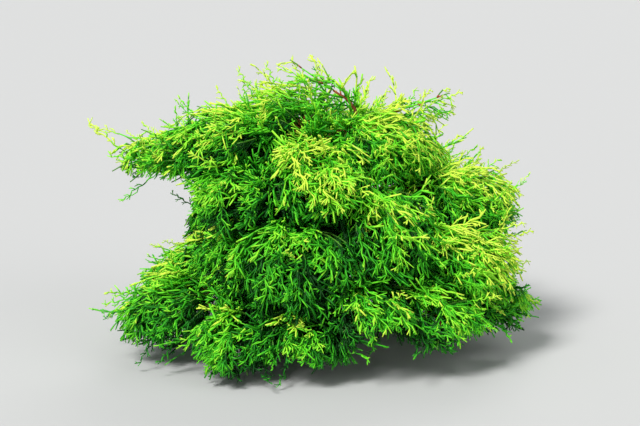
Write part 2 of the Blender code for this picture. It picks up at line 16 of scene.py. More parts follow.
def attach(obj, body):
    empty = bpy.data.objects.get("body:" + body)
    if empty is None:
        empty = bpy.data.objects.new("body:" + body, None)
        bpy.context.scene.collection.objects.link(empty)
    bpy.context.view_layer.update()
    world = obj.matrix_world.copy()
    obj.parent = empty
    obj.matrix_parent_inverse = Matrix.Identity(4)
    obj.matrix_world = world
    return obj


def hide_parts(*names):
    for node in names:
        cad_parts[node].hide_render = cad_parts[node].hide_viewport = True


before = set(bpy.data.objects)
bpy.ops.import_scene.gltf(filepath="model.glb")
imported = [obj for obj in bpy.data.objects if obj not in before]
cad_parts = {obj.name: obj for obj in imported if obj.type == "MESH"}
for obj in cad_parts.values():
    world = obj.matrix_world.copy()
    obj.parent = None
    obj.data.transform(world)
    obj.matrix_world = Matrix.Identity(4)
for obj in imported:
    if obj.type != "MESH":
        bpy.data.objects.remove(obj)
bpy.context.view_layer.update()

# The camera stands where the photographer stood: 2.6 m off, looking down a little.
EYE = Vector((0.0032, -2.5432, 0.7499))
LOOKS_AT = Vector((0.0032, 0.0, 0.2094))
LENS_MM = 91.40625
SENSOR_MM = 36.0

camera_data = bpy.data.cameras.new("camera")
camera_data.lens = LENS_MM
camera_data.sensor_width = SENSOR_MM
camera = bpy.data.objects.new("camera", camera_data)
camera.location = EYE
camera.rotation_euler = (LOOKS_AT - EYE).to_track_quat("-Z", "Y").to_euler()
bpy.context.scene.collection.objects.link(camera)
bpy.context.scene.camera = camera

# Soft, even light as from large windows: the main one above and to the left of the camera, a
# weaker one at the right and one behind, and a pale sky that fills in the rest. Each is a
# direction that its light comes from, its spread in degrees and its strength.
SKY = (0.90, 0.94, 1.0, 1.0)
SKY_STRENGTH = 0.34
WINDOWS = (
    ("window", (-1.1, -1.5, 2.1), 18.0, 3.9),
    ("fill", (1.9, -1.2, 1.1), 40.0, 0.55),
    ("rim", (0.6, 2.2, 1.7), 30.0, 0.75),
)

world = bpy.data.worlds.new("sky")
world.use_nodes = True
world.node_tree.nodes["Background"].inputs["Color"].default_value = SKY
world.node_tree.nodes["Background"].inputs["Strength"].default_value = SKY_STRENGTH
bpy.context.scene.world = world
bpy.context.scene.view_settings.view_transform = "Standard"

for lamp_name, direction, spread_deg, strength in WINDOWS:
    lamp_data = bpy.data.lights.new(lamp_name, "SUN")
    lamp_data.angle = math.radians(spread_deg)
    lamp_data.energy = strength
    lamp = bpy.data.objects.new(lamp_name, lamp_data)
    lamp.location = direction
    lamp.rotation_euler = (-Vector(direction)).to_track_quat("-Z", "Y").to_euler()
    bpy.context.scene.collection.objects.link(lamp)


class Wire:
    """A socket of a material, so that shader maths reads as an expression."""

    def __init__(self, finish, socket):
        self.finish = finish
        self.socket = socket

    def _maths(self, operation, first, second):
        return self.finish.node("ShaderNodeMath", {"operation": operation}, {0: first, 1: second})

    def __add__(self, other):
        return self._maths("ADD", self, other)

    def __mul__(self, other):
        return self._maths("MULTIPLY", self, other)

    def __rsub__(self, other):
        return self._maths("SUBTRACT", other, self)


class Finish:
    """A Principled material under construction."""

    def __init__(self, name, colour, roughness):
        self.material = bpy.data.materials.new(name)
        self.material.use_nodes = True
        self.material.diffuse_color = colour
        self.tree = self.material.node_tree
        self.shader = self.tree.nodes["Principled BSDF"]
        self.give(self.shader, {"Base Color": colour, "Roughness": roughness})

    def give(self, node, inputs):
        """Sets or links a node's inputs."""
        for key, value in inputs.items():
            if isinstance(value, Wire):
                self.tree.links.new(value.socket, node.inputs[key])
            else:
                node.inputs[key].default_value = value

    def node(self, kind, settings, inputs, output=0):
        """Adds a node: its settings first, with a ramp's stops among them, then its inputs."""
        made = self.tree.nodes.new(kind)
        for key, value in settings.items():
            if key == "stops":
                ramp = made.color_ramp.elements
                while len(ramp) < len(value):
                    ramp.new(1.0)
                for element, (spot, shade) in zip(ramp, value):
                    element.position = spot
                    element.color = shade
            else:
                setattr(made, key, value)
        self.give(made, inputs)
        return Wire(self, made.outputs[output])


def new_object(name, mesh):
    """An object in the scene, at the origin."""
    made = bpy.data.objects.new(name, mesh)
    bpy.context.scene.collection.objects.link(made)
    return made


# The floor is one plain sheet of pale paper, laid flat and large enough to fill every view. It
# isn't part of the shrub.
FLOOR_HALF = 30.0
PAPER = (0.50, 0.50, 0.49, 1.0)
PAPER_ROUGHNESS = 0.9
floor_shape = bmesh.new()
bmesh.ops.create_grid(floor_shape, x_segments=1, y_segments=1, size=FLOOR_HALF)
floor_mesh = bpy.data.meshes.new("floor")
floor_shape.to_mesh(floor_mesh)
floor_shape.free()
floor = new_object("floor", floor_mesh)
paper = Finish("pale_paper", PAPER, PAPER_ROUGHNESS)
floor.data.materials.append(paper.material)

# The trunk is a short leaning stem of red-brown wood with stringy bark. Its foot flares into
# five low ridges and ends in a flat cut at ground level, where the roots would go on.
UPWARD = Vector((0, 0, 1))
TRUNK_TOP = Vector((0.012, 0.012, 0.270))
TRUNK_SWAY = Vector((-0.016, 0.010, 0.0))
TRUNK_BASE_RADIUS = 0.0125
TRUNK_TIP_RADIUS = 0.0042
TRUNK_TAPER = 0.8
FLARE_REACH = 0.016
FLARE_WIDTH = 0.75
FLARE_LOBES = 5
FLARE_LOBE_DEPTH = 0.22
TRUNK_RINGS = 130
RINGS_TO_FOOT = 1.35
TRUNK_SIDES = 64

BARK_DARK = (0.040, 0.016, 0.010, 1.0)
BARK_MIDDLE = (0.190, 0.068, 0.034, 1.0)
BARK_RED = (0.360, 0.115, 0.052, 1.0)
BARK_GREY = (0.300, 0.215, 0.160, 1.0)
BARK_YOUNG = (0.44, 0.085, 0.028, 1.0)
BARK_STOPS = ((0.38, BARK_DARK), (0.49, BARK_MIDDLE), (0.62, BARK_RED))
BARK_ROUGHNESS = 0.8
# Fibres, fissures and flakes: how fine each is, how far it runs along the limb, its detail.
BARK_GRAINS = ((900.0, 0.08, 5.0), (330.0, 0.10, 3.0), (120.0, 0.30, 2.0))
GRAIN_ROUGHNESS = 0.6
FIBRE_SHARE, FISSURE_SHARE = 0.55, 0.45
FISSURE_SMOOTHER = 0.3
ROUGHEST = 0.95
FLAKES_FROM, FLAKES_TO, FLAKES_MOST = 0.55, 0.72, 0.7
# The girths between which the bark turns from old to young.
YOUNG_RADII = (0.0034, 0.0020)
YOUNG_MOST = 0.85
BUMP_DEPTH = 0.0020
# Ridges and fissures of the mesh, as shares of the radius, and how far they run along the limb.
BARK_RELIEF = 0.13
BARK_STRETCH = 0.16
BARK_GRAIN = 420.0
FINER_GRAIN, FINER_RELIEF = 2.3, 0.5


def even_shares(steps):
    """Shares from 0 to 1 in even steps."""
    return [i / steps for i in range(steps + 1)]


def trunk_point(height):
    """The trunk's middle at a height: it leans to its top and sways once on the way."""
    share = height / TRUNK_TOP.z
    return TRUNK_TOP * share + TRUNK_SWAY * math.sin(math.pi * share)


def trunk_radius(height):
    """The trunk's radius at a height, without its flare."""
    share = height / TRUNK_TOP.z
    return TRUNK_BASE_RADIUS + (TRUNK_TIP_RADIUS - TRUNK_BASE_RADIUS) * share**TRUNK_TAPER


def placed_along(spot, way):
    """The placement of a ring round a spot, square to the way that its tube runs."""
    return Matrix.Translation(spot) @ way.to_track_quat("Z", "X").to_matrix().to_4x4()


def tube(shape, path, radii, sides):
    """Draws a tube ring by ring along a path. Returns each ring's points and middle, the way
    that the tube runs there, and how far along it is."""
    way = (path[1] - path[0]).normalized()
    place = placed_along(path[0], way)
    made = bmesh.ops.create_circle(
        shape, cap_ends=True, segments=sides, radius=radii[0], matrix=place
    )
    ring = list(made["verts"])
    face = ring[0].link_faces[0]
    along = 0.0
    rings = [(ring, path[0], way, along)]
    for here, spot in enumerate(path[1:], 1):
        ahead = (path[min(here + 1, len(path) - 1)] - path[here - 1]).normalized()
        drawn = bmesh.ops.extrude_face_region(shape, geom=[face])
        if here > 1:
            bmesh.ops.delete(shape, geom=[face], context="FACES_ONLY")
        face = next(g for g in drawn["geom"] if isinstance(g, bmesh.types.BMFace))
        turn = way.rotation_difference(ahead).to_matrix().to_4x4()
        grow = Matrix.Scale(radii[here] / radii[here - 1], 4)
        middle = path[here - 1]
        move = Matrix.Translation(spot) @ turn @ grow @ Matrix.Translation(-middle)
        bmesh.ops.transform(shape, matrix=move, verts=list(face.verts))
        way = ahead
        along += (spot - middle).length
        rings.append((list(face.verts), spot, way, along))
    return rings


def limb(shape, path, radii, sides, relief=0.0):
    """Draws a limb, and returns each point's place on it as if it were straight, which the
    bark's grain follows."""
    straight = {}
    for ring, middle, way, along in tube(shape, path, radii, sides):
        turn = way.rotation_difference(UPWARD)
        for vertex in ring:
            off = turn @ (vertex.co - middle)
            straight[vertex] = Vector((off.x, off.y, along))
            if relief:
                grain = Vector((off.x, off.y, along * BARK_STRETCH)) * BARK_GRAIN
                rough = noise.noise(grain) + FINER_RELIEF * noise.noise(grain * FINER_GRAIN)
                vertex.co = middle + (vertex.co - middle) * (1 + relief * rough)
    return straight


def wood_mesh(name, shape, straight):
    """The mesh of some limbs, with the place of each point along its limb kept for the bark."""
    bmesh.ops.recalc_face_normals(shape, faces=shape.faces)
    shape.verts.index_update()
    places = np.zeros((len(shape.verts), 3), np.float32)
    for vertex, spot in straight.items():
        places[vertex.index] = spot
    mesh = bpy.data.meshes.new(name)
    shape.to_mesh(mesh)
    shape.free()
    grain = mesh.attributes.new("along_limb", "FLOAT_VECTOR", "POINT")
    grain.data.foreach_set("vector", places.ravel())
    mesh.shade_smooth()
    return mesh


def bark_finish(name):
    """Stringy red-brown bark: long fibres, dark fissures between them and grey worn flakes.
    Thin young limbs are redder."""
    bark = Finish(name, BARK_MIDDLE, BARK_ROUGHNESS)
    place = bark.node("ShaderNodeAttribute", {"attribute_name": "along_limb"}, {}, "Vector")

    def grain(scale, stretch, detail):
        pulled = bark.node(
            "ShaderNodeMapping", {}, {"Vector": place, "Scale": (scale, scale, scale * stretch)}
        )
        return bark.node(
            "ShaderNodeTexNoise",
            {},
            {"Vector": pulled, "Scale": 1.0, "Detail": detail, "Roughness": GRAIN_ROUGHNESS},
        )

    def share_of(value, low, high, most):
        ends = {"Value": value, "From Min": low, "From Max": high, "To Max": most}
        return bark.node("ShaderNodeMapRange", {}, ends)

    def mixed_with(share, under, over):
        layers = {"Factor": share, 6: under, 7: over}
        return bark.node("ShaderNodeMix", {"data_type": "RGBA"}, layers, 2)

    fibres, fissures, flakes = [grain(*row) for row in BARK_GRAINS]
    mixed = fibres * FIBRE_SHARE + fissures * FISSURE_SHARE
    colour = bark.node("ShaderNodeValToRGB", {"stops": BARK_STOPS}, {"Fac": mixed})
    worn = share_of(flakes, FLAKES_FROM, FLAKES_TO, FLAKES_MOST)
    colour = mixed_with(worn, colour, BARK_GREY)
    across = bark.node("ShaderNodeVectorMath", {"operation": "MULTIPLY"}, {0: place, 1: (1, 1, 0)})
    girth = bark.node("ShaderNodeVectorMath", {"operation": "LENGTH"}, {0: across}, "Value")
    colour = mixed_with(share_of(girth, *YOUNG_RADII, YOUNG_MOST), colour, BARK_YOUNG)
    relief = bark.node(
        "ShaderNodeBump", {}, {"Height": mixed, "Strength": 1.0, "Distance": BUMP_DEPTH}
    )
    rough = ROUGHEST - fissures * FISSURE_SMOOTHER
    bark.give(bark.shader, {"Base Color": colour, "Roughness": rough, "Normal": relief})
    return bark.material


bark = bark_finish("stringy_bark")
trunk_shape = bmesh.new()
trunk_heights = [TRUNK_TOP.z * share**RINGS_TO_FOOT for share in even_shares(TRUNK_RINGS)]
trunk_path = [trunk_point(h) for h in trunk_heights]
trunk_grain = limb(
    trunk_shape, trunk_path, [trunk_radius(h) for h in trunk_heights], TRUNK_SIDES, BARK_RELIEF
)
for vertex in trunk_shape.verts:
    level = trunk_grain[vertex].z
    height = max(vertex.co.z, 0.0)
    middle = trunk_point(height)
    middle = middle.lerp(Vector((0, 0, height)), math.exp(-height / FLARE_REACH))
    off = vertex.co - middle
    ridge = 1 + FLARE_LOBE_DEPTH * math.cos(FLARE_LOBES * math.atan2(off.y, off.x))
    wider = 1 + FLARE_WIDTH * ridge * math.exp(-height / FLARE_REACH)
    foot = 0.0 if level == 0 else height
    vertex.co = Vector((middle.x + off.x * wider, middle.y + off.y * wider, foot))
trunk = new_object("trunk_bark", wood_mesh("trunk_bark", trunk_shape, trunk_grain))
trunk.data.materials.append(bark)
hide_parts("trunk")
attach(trunk, "root")

# Each bough is one tapering limb of the same wood, which leaves the trunk at a slant and
# bends over into the mass of foliage that it carries.
HALF_SPREAD = 0.360
HEIGHT = 0.450
MASS_LENGTH = 0.090
BOUGH_ROOT_RADIUS = 0.0040
BOUGH_TIP_RADIUS = 0.0021
BOUGH_GIRTH = (0.7, 0.3)
BOUGH_STEPS = 6
BOUGH_SAMPLES = 6
BOUGH_SHOWS = 0.9
BOUGH_RISE_DEG = 34.0
TRUNK_STEPS = 14
TRUNK_TIP_FROM = 0.95
LOWEST_BOUGH = 0.026
SKIRT_HEIGHT = 0.050
BOUGH_HEIGHT_SHARE = 0.62
BOUGH_MARGIN = 0.0008
BOUGH_TOP_ROOM = 0.012
# The changes that a bough tries, smallest first, to keep off the others.
BOUGH_HEIGHT_MOVES = [0.004 * step * side for step in range(12) for side in (1, -1)]
BOUGH_TURN_MOVES_DEG = (0.0, 14.0, -14.0, 28.0, -28.0, 42.0, -42.0, 56.0, -56.0)
BOUGH_SIDES = 10
BOUGH_RINGS = 7
COLLAR_WIDTH = 0.35
COLLAR_REACH = 0.006

# How each kind of mass hangs: droop of its axis in degrees, then its breadth and depth
# as shares of its length.
KINDS = {
    "crown": (8.0, 1.00, 0.66),
    "shelf": (3.0, 0.95, 0.56),
    "shoulder": (14.0, 1.02, 0.70),
    "middle": (24.0, 1.05, 0.84),
    "drape": (40.0, 1.05, 0.80),
    "skirt": (17.0, 0.96, 0.70),
    "wisp": (-30.0, 0.52, 0.44),
}

# The masses of foliage: name, azimuth in degrees (0 is +X, 90 is the back), reach from the
# trunk as a share of HALF_SPREAD, height as a share of HEIGHT, and length over MASS_LENGTH.
MASSES = (
    ("crown_top", 163, 0.13, 0.815, 0.96),
    ("crown_left", 192, 0.41, 0.750, 0.98),
    ("crown_front", 272, 0.30, 0.655, 1.00),
    ("crown_right", 352, 0.31, 0.755, 1.00),
    ("crown_back", 66, 0.34, 0.690, 1.02),
    ("shelf_left", 184, 0.69, 0.680, 0.98),
    ("shelf_left_front", 222, 0.43, 0.590, 0.95),
    ("shelf_back_left", 128, 0.52, 0.610, 1.04),
    ("shelf_back_right", 38, 0.53, 0.590, 1.02),
    ("middle_left", 170, 0.39, 0.480, 0.80),
    ("middle_back", 96, 0.56, 0.390, 0.96),
    ("drape_front", 262, 0.52, 0.400, 0.92),
    ("drape_right", 308, 0.46, 0.500, 1.06),
    ("shoulder_right", 3, 0.65, 0.530, 0.98),
    ("shoulder_front", 334, 0.66, 0.380, 0.98),
    ("shoulder_back", 26, 0.70, 0.330, 0.94),
    ("skirt_right", 352, 0.72, 0.190, 1.00),
    ("skirt_right_front", 318, 0.66, 0.190, 1.00),
    ("skirt_front_right", 291, 0.58, 0.225, 0.98),
    ("skirt_front", 265, 0.58, 0.142, 0.84),
    ("skirt_front_left", 239, 0.64, 0.125, 0.90),
    ("skirt_left", 205, 0.69, 0.185, 1.00),
    ("skirt_left_inner", 184, 0.46, 0.300, 0.84),
    ("middle_front", 232, 0.38, 0.410, 0.94),
    ("middle_low", 238, 0.36, 0.225, 0.86),
    ("skirt_back_left", 150, 0.64, 0.190, 0.98),
    ("skirt_back", 102, 0.64, 0.165, 0.94),
    ("skirt_back_right", 55, 0.66, 0.185, 0.98),
    ("wisp_top", 180, 0.015, 0.948, 0.78),
    ("wisp_right", 358, 0.46, 0.862, 0.72),
)
TOP_MASS = "crown_top"
WISP_BEARINGS = {"wisp_top": (180.0, 350.0), "wisp_right": (358.0, 20.0)}
WISP_DROOPS = {"wisp_right": -14.0}

# The stem of a mass starts a hair off its bough's tip. Its ends are given as shares of the
# mass's half sizes, and the forks as shares of its length.
GAP = 0.0003
STEM_START = (-0.74, -0.10)
STEM_END = (0.50, 0.12)
STEM_STEPS = 3
STEM_NECK = 0.006
STEM_RADII = (0.0021, 0.0019, 0.0016, 0.0012)
FIRST_FORK = 0.10
TOP_FIRST_FORK = 0.70

# Foliage fills the masses and the clefts between them. Each mass fades out at this many half
# sizes, what the masses near a point leave there is added up, and a spray ends where the sum
# falls to a value of its own between these two, which makes the outline ragged.
FADE_OUT = 1.7
TWIG_THINNEST = 0.11
THINNEST = {
    "shelf": (0.27, 0.42), "skirt": (0.25, 0.40), "wisp": (0.30, 0.50),
    "shelf_left": (0.50, 0.80), "shelf_left_front": (0.32, 0.50), "shelf_back_right": (0.33, 0.50),
    "crown_left": (0.30, 0.52), "crown_right": (0.50, 0.84), "shoulder_right": (0.25, 0.42),
    "middle_left": (0.34, 0.56),
}
THINNEST_ELSEWHERE = (0.19, 0.34)
THINNEST_BEHIND = (0.11, 0.26)
BEHIND_DEG = (45, 150)
BEHIND_LENGTH = 0.9
# How far a mass's cords may lap over into the next mass, and the room they leave round a limb.
CELL_LAP = (0.006, 0.034)
LIMB_MARGIN = 0.0010
CELL_STRETCH = np.array((1.0, 1.0, 1.4))
# The lowest that cords hang: off the ground, and on a skirt this share of its half depth below
# its middle. Long shoots keep to a box.
GROUND_CLEARANCE = 0.004
SKIRT_HANGS = 1.02
HANGS_LESS = {
    "skirt_front_right": 0.80, "skirt_right_front": 0.80, "skirt_right": 0.88, "skirt_front": 0.86,
}
LOW_LIMIT = np.array((-0.372, -0.305, GROUND_CLEARANCE))
HIGH_LIMIT = np.array((0.364, 0.332, 0.466))


def heading(azimuth_deg):
    """The level direction of an azimuth."""
    turn = math.radians(azimuth_deg)
    return Vector((math.cos(turn), math.sin(turn), 0.0))


def smooth_path(start, start_way, end, end_way, steps):
    """Points of the cubic curve that leaves start and reaches end along the given ways."""
    third = (end - start).length / 3
    near, far = start + start_way * third, end - end_way * third
    return [
        start * (1 - t) ** 3 + near * 3 * t * (1 - t) ** 2 + far * 3 * t * t * (1 - t) + end * t**3
        for t in even_shares(steps)
    ]


class Mass:
    """One mass of foliage: an ellipsoid of twigs round its own axis, and the space it keeps to."""

    def __init__(self, name, azimuth, reach, height, length):
        self.name = name
        self.kind = name.split("_")[0]
        droop, breadth, depth = KINDS[self.kind]
        droop = WISP_DROOPS.get(name, droop)
        bearing, self.leaves_on = WISP_BEARINGS.get(name, (azimuth, azimuth))
        self.centre = heading(azimuth) * reach * HALF_SPREAD + Vector((0, 0, height * HEIGHT))
        self.out = heading(bearing)
        fall = math.radians(droop)
        self.axis = self.out * math.cos(fall) - UPWARD * math.sin(fall)
        self.side = UPWARD.cross(self.out)
        self.up = self.axis.cross(self.side)
        half = length * MASS_LENGTH
        self.half = Vector((half, half * breadth, half * depth))
        self.axes = np.array((self.axis, self.side, self.up)) / np.array(self.half)[:, None]
        self.lowest = GROUND_CLEARANCE
        if self.kind == "skirt":
            hangs = HANGS_LESS.get(name, SKIRT_HANGS)
            self.lowest = max(self.lowest, self.centre.z - hangs * self.half.z)
        self.thinnest = THINNEST.get(name, THINNEST.get(self.kind, THINNEST_ELSEWHERE))
        self.behind = BEHIND_DEG[0] <= azimuth <= BEHIND_DEG[1] and length > BEHIND_LENGTH
        if self.behind:
            self.thinnest = THINNEST_BEHIND
        self.meet(self.to_world(STEM_START[0], 0, STEM_START[1]), self.axis, FIRST_FORK)

    def meet(self, entry, entering, first_fork):
        """Puts the stem's start at the tip of the limb that carries the mass."""
        self.entry = entry
        self.first_fork = first_fork
        end = self.to_world(STEM_END[0], 0, STEM_END[1])
        start = entry + entering * GAP
        neck = start + entering * STEM_NECK
        self.stem = [start] + smooth_path(neck, entering, end, self.axis, STEM_STEPS - 1)

    def to_world(self, along, across, above):
        """The point at these shares of the half sizes."""
        return (
            self.centre
            + self.axis * self.half.x * along
            + self.side * self.half.y * across
            + self.up * self.half.z * above
        )

    def outward(self, aim):
        """A direction of the mass in the scene."""
        return np.array(self.axis * aim.x + self.side * aim.y + self.up * aim.z)

    def stem_point(self, share):
        """A point on the stem that the twigs leave."""
        steps = share * STEM_STEPS
        first = min(int(steps), STEM_STEPS - 1)
        return self.stem[first].lerp(self.stem[first + 1], steps - first)


class Crown:
    """All the masses, with the planes midway between them, and the limbs their twigs keep off."""

    def __init__(self, masses):
        self.masses = masses
        self.limbs = []
        self.centres = np.array([np.array(m.centre) * CELL_STRETCH for m in masses])
        mean = [(m.half.x + m.half.y + m.half.z * CELL_STRETCH[2]) / 3 for m in masses]
        self.weights = np.array(mean) ** 2
        self.middles = np.array([np.array(m.centre) for m in masses])
        self.axes = np.array([m.axes for m in masses])

    def fullness(self, points):
        """How much foliage the masses together leave at each point, 1 or more well inside."""
        shares = np.einsum("mij,pmj->pmi", self.axes, points[:, None] - self.middles)
        left = np.maximum(0.0, 1 - (shares**2).sum(2) / FADE_OUT**2)
        return (left**2).sum(1)

    def in_cell(self, index, points, lap):
        """True if all points lie in this mass's share of the space."""
        power = ((points * CELL_STRETCH)[:, None, :] - self.centres[None]) ** 2
        power = power.sum(2) - self.weights
        apart = np.linalg.norm(self.centres - self.centres[index], axis=1)
        room = power - power[:, index : index + 1] + 2 * lap * CELL_STRETCH[2] * apart
        return bool((room >= 0).all())

    @staticmethod
    def room_round(limb, points):
        """How far each point is from the bark of one limb."""
        path, radii = limb
        start, way = path[:-1], path[1:] - path[:-1]
        share = ((points[:, None] - start) * way).sum(2) / (way**2).sum(1)
        share = np.clip(share, 0, 1)
        nearest = start + share[..., None] * way
        wood = radii[:-1] + share * (radii[1:] - radii[:-1])
        return (np.linalg.norm(points[:, None] - nearest, axis=2) - wood).min(1)

    def join_limbs(self):
        """Lays all limbs end to end, so that one sum gives the room round every one."""
        self.starts = np.concatenate([path[:-1] for path, _ in self.limbs])
        self.ways = np.concatenate([path[1:] - path[:-1] for path, _ in self.limbs])
        self.wood = np.concatenate([(radii[1:] + radii[:-1]) / 2 for _, radii in self.limbs])
        self.squares = (self.ways**2).sum(1)

    def clear_of_limbs(self, points, radius):
        """True if no point comes within the margin of a limb."""
        share = ((points[:, None] - self.starts) * self.ways).sum(2) / self.squares
        nearest = self.starts + np.clip(share, 0, 1)[..., None] * self.ways
        room = np.linalg.norm(points[:, None] - nearest, axis=2) - self.wood
        return bool(room.min() >= radius + LIMB_MARGIN)

    def outside_trunk(self, path, radii):
        """The stretch of a bough that is outside the trunk, as close-set points and radii."""
        count = len(path) - 1
        shares = np.linspace(0, count, count * BOUGH_SAMPLES + 1)
        spots = [np.interp(shares, range(count + 1), [p[k] for p in path]) for k in range(3)]
        spots, thick = np.array(spots).T, np.interp(shares, range(count + 1), radii)
        first = int(np.argmax(self.room_round(self.limbs[0], spots) > -thick * BOUGH_SHOWS))
        return spots[first:], thick[first:]

    def bough_fits(self, mass, path, radii):
        """True if a bough stays off the boughs that are there already and off other stems."""
        spots, thick = self.outside_trunk(path, radii)
        stems = [(np.array(m.stem), np.array(STEM_RADII)) for m in self.masses if m is not mass]
        rooms = (self.room_round(limb, spots) - thick for limb in self.limbs[1:] + stems)
        return all(room.min() > BOUGH_MARGIN for room in rooms)


def bough_line(mass, higher, turn_deg):
    """The points and radii of the limb that runs from the trunk's middle to its mass."""
    height = LOWEST_BOUGH + BOUGH_HEIGHT_SHARE * max(0.0, mass.centre.z - SKIRT_HEIGHT) + higher
    height = min(max(height, LOWEST_BOUGH), TRUNK_TOP.z - BOUGH_TOP_ROOM)
    rise = math.radians(BOUGH_RISE_DEG)
    leaving = heading(mass.leaves_on + turn_deg)
    start_way = leaving * math.cos(rise) + UPWARD * math.sin(rise)
    neck = mass.entry - mass.axis * STEM_NECK
    path = smooth_path(trunk_point(height), start_way, neck, mass.axis, BOUGH_STEPS - 1)
    path.append(mass.entry)
    root = BOUGH_ROOT_RADIUS * (BOUGH_GIRTH[0] + BOUGH_GIRTH[1] * mass.half.x / MASS_LENGTH)
    return path, [root + (BOUGH_TIP_RADIUS - root) * t for t in even_shares(BOUGH_STEPS)]


def routed_bough(mass, crown):
    """The bough's line that needs the smallest change to stay off the other boughs."""
    for turn_deg in BOUGH_TURN_MOVES_DEG:
        for higher in BOUGH_HEIGHT_MOVES:
            path, radii = bough_line(mass, higher, turn_deg)
            if crown.bough_fits(mass, path, radii):
                return path, radii
    raise ValueError("no clear way for the bough of " + mass.name)


def rounded(path, radii, rings):
    """The path with each corner rounded, as a curve through the same points."""
    spots, thick = [], []
    last = len(path) - 1
    for first in range(last):
        before, here = path[max(first - 1, 0)], path[first]
        after, beyond = path[first + 1], path[min(first + 2, last)]
        span = (after - here).length
        start_way = (after - before).normalized() * span
        end_way = (beyond - here).normalized() * span
        for step in range(rings):
            t = step / rings
            spots.append(
                here * (2 * t**3 - 3 * t**2 + 1)
                + start_way * (t**3 - 2 * t**2 + t)
                + after * (3 * t**2 - 2 * t**3)
                + end_way * (t**3 - t**2)
            )
            thick.append(radii[first] * (1 - t) + radii[first + 1] * t)
    return spots + [path[-1]], thick + [radii[-1]]


masses = [Mass(*row) for row in MASSES]
crown = Crown(masses)
coarse = [TRUNK_TOP.z * i / TRUNK_STEPS for i in range(TRUNK_STEPS + 1)]
trunk_line = np.array([trunk_point(h) for h in coarse])
crown.limbs.append((trunk_line, np.array([trunk_radius(h) for h in coarse])))
trunk_way = (trunk_point(TRUNK_TOP.z) - trunk_point(TRUNK_TOP.z * TRUNK_TIP_FROM)).normalized()
top_mass = next(mass for mass in masses if mass.name == TOP_MASS)
top_mass.meet(trunk_point(TRUNK_TOP.z), trunk_way, TOP_FIRST_FORK)

bough_shape = bmesh.new()
bough_grain = {}
for mass in sorted(masses, key=lambda each: -each.centre.z):
    if mass is top_mass:
        continue
    path, radii = routed_bough(mass, crown)
    spots, thick = crown.outside_trunk(path, radii)
    crown.limbs.append((spots, thick))
    mass.bough = spots
    inside = spots[0] - np.array(path[0])
    inside = math.sqrt(inside @ inside)
    line, girth = rounded(path, radii, BOUGH_RINGS)
    collar = [max((p - path[0]).length - inside, 0.0) for p in line]
    girth = [g * (1 + COLLAR_WIDTH * math.exp(-c / COLLAR_REACH)) for g, c in zip(girth, collar)]
    bough_grain |= limb(bough_shape, line, girth, BOUGH_SIDES, BARK_RELIEF)
crown.join_limbs()
boughs = new_object("boughs_bark", wood_mesh("boughs_bark", bough_shape, bough_grain))
boughs.data.materials.append(bark)
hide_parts(*("bough_" + mass.name for mass in masses if mass is not top_mass))
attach(boughs, "root")

# The foliage is thin round cords clad in tiny scale leaves. Short cords fork off a longer one
# on alternate sides, and make a flat spray that hangs from a twig. A few patterns of spray
# are drawn, with three sides to a cord, and every spray of the shrub is a copy of one.
CORD_SIDES = 3
CORD_RADIUS = 0.00148
CORD_TAPER = (1.1, 0.4)
SPRAY_DROOP = 0.20
DROOP_VARIES = (0.3, 1.5)
SPRAY_SWAY = 0.20
SPRAY_WAVE = 0.0022
SPRAY_ZIGZAG = 0.0016
WAVE_SAG = 0.5
# A side cord has one knee, and its angles vary by these.
SIDE_RADIUS = 0.00136
SIDE_TIP_TAPER = 0.82
SIDE_VARIES = (0.35, 1.40)
SIDE_ANGLE_DEG = 44.0
ANGLE_VARIES_DEG = 14.0
SIDE_BEND_DEG = 26.0
SIDE_CROOKED_DEG = 36.0
SIDE_LIFT = 0.25
TO_KNEE, BEYOND_KNEE = 0.45, 0.55
TIP_DROOP = 0.4
# Spurs are the short shoots on a side cord: where they stand, and on its own or the other hand.
SPURS = ((0.15, 1), (0.55, -1))
TWO_SPURS_FROM = 0.030
SPUR_CHANCE = 0.66
SPUR_RADIUS = 0.00122
SPUR_TAPER = 0.7
SPUR_LENGTH = 0.0070
SPUR_VARIES = (0.7, 1.4)
SPUR_FORK_DEG = 38.0
SPUR_LIFT = 0.4
SPUR_SUNK = 0.0005
# How light a leaf is: by its cord's place on the spray, by its own place on the cord, and by
# chance. Lighter tips are partly the plant's own yellow young growth and partly painted light,
# with painted shade at the cords' feet.
LIGHTER_ALONG, LIGHTER_OUT, LIGHTER_SPUR, CORD_TINT = 0.6, 1.3, 0.5, 0.28


def cord(shape, path, radii):
    """A three-sided cord with a blunt tip. Returns its faces."""
    rings = tube(shape, path, radii, CORD_SIDES)
    return {face for ring in rings for vertex in ring[0] for face in vertex.link_faces}


def spur(shape, root, tip):
    """A short, blunt side spur with three sides. Returns its faces."""
    way = tip - root
    made = bmesh.ops.create_cone(
        shape,
        cap_ends=True,
        segments=CORD_SIDES,
        radius1=SPUR_RADIUS,
        radius2=SPUR_RADIUS * SPUR_TAPER,
        depth=way.length,
        matrix=placed_along(root + way / 2, way),
    )
    return {face for vertex in made["verts"] for face in vertex.link_faces}


class Drawn:
    """A drawn shape as arrays: its points, its faces' corners, and how many each face has."""

    def __init__(self, shape):
        bmesh.ops.recalc_face_normals(shape, faces=shape.faces)
        shape.verts.index_update()
        self.points = np.array([v.co for v in shape.verts])
        self.corners = np.array([v.index for f in shape.faces for v in f.verts])
        self.sizes = np.array([len(f.verts) for f in shape.faces])


